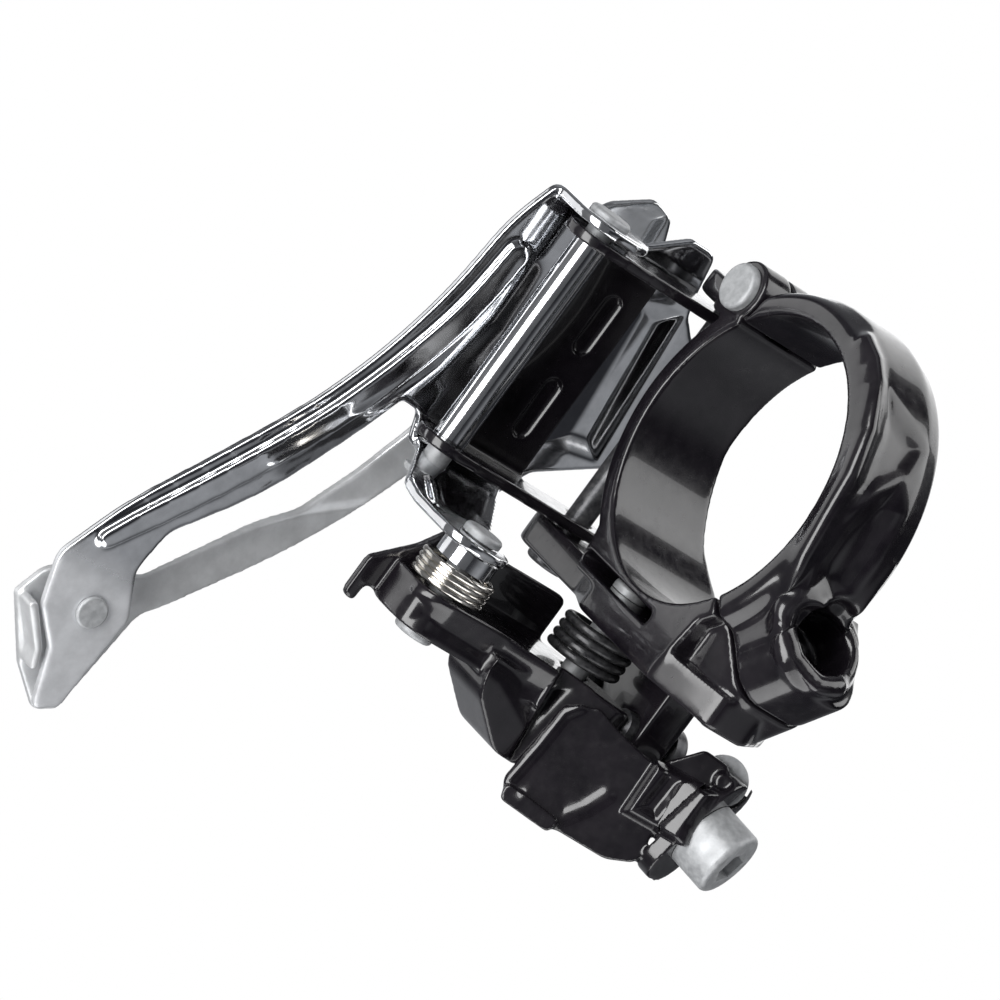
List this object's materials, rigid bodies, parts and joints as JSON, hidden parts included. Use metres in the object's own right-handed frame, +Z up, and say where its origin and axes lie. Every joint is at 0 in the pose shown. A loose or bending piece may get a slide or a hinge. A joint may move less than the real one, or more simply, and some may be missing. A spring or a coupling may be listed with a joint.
{
  "type": "front derailleur",
  "caption": "Clamp-on front derailleur with a hinged seat-tube band, a parallelogram link, a sprung chain cage and a cable arm.",
  "frame": {"origin": "middle of the seat-tube clamp's bore, at half its height", "axes": "+Z up the seat tube, +X to the rear of the bicycle, +Y outboard to the chain side"},
  "size_m": [0.0913, 0.0699, 0.0682],
  "materials": {
    "black_paint": "gloss",
    "chrome": "polished",
    "cage_steel": "bright rolled",
    "zinc_plate": "satin",
    "nickel_wire": "bright",
    "black_wire": "satin",
    "dark_steel": "satin"
  },
  "bodies": {
    "bracket": {"clamp_bracket": "black_paint", "hinge_rivet": "zinc_plate", "outer_link_pin": "dark_steel", "inner_link_pin": "zinc_plate", "pivot_spring": "black_wire"},
    "band": {"clamp_band": "black_paint"},
    "link": {"outer_link": "black_paint", "pivot_sleeve": "chrome"},
    "lever": {"inner_link": "black_paint", "cable_arm": "black_paint", "cage_link_pin": "zinc_plate", "cage_link_collar": "chrome", "guide_rivet": "zinc_plate"},
    "cage": {"cage_inner_plate": "chrome", "cage_outer_plate": "cage_steel", "cage_pivot_pin": "zinc_plate", "return_spring": "nickel_wire", "tail_rivet": "zinc_plate", "tail_spacer": "zinc_plate", "bridge_rivets": "zinc_plate"},
    "low_screw": {"low_limit_screw": "dark_steel"},
    "high_screw": {"high_limit_screw": "dark_steel"},
    "anchor": {"cable_anchor_bolt": "zinc_plate"}
  },
  "joints": [
    {"name": "link_swing", "type": "hinge", "parent": "bracket", "child": "link", "pos_m": [0, 0.0255, 0.0011], "axis": [1, 0, 0], "range_deg": [0, 40]},
    {"name": "lever_swing", "type": "hinge", "parent": "bracket", "child": "lever", "pos_m": [0, 0.006, -0.0016], "axis": [1, 0, 0], "range_deg": [0, 40]},
    {"name": "cage_level", "type": "hinge", "parent": "link", "child": "cage", "pos_m": [0, 0.027, -0.0189], "axis": [1, 0, 0], "range_deg": [-40, 0]},
    {"name": "band_hinge", "type": "hinge", "parent": "bracket", "child": "band", "pos_m": [-0.01476, 0.01611, 0], "axis": [0, 0, -1], "range_deg": [0, 80]},
    {"name": "low_screw_turn", "type": "hinge", "parent": "bracket", "child": "low_screw", "pos_m": [0.032, 0.001, 0.008], "axis": [0, 0, 1], "range_deg": [-180, 180]},
    {"name": "high_screw_turn", "type": "hinge", "parent": "bracket", "child": "high_screw", "pos_m": [0.032, 0.011, 0.008], "axis": [0, 0, 1], "range_deg": [-180, 180]},
    {"name": "anchor_bolt_turn", "type": "hinge", "parent": "lever", "child": "anchor", "pos_m": [0.036, -0.01, 0.0138], "axis": [0.1655, -0.8063, 0.5678], "range_deg": [-180, 180]}
  ],
  "couplings": [
    {"joint": "lever_swing", "follows": "link_swing", "ratio": 1},
    {"joint": "cage_level", "follows": "link_swing", "ratio": -1}
  ]
}
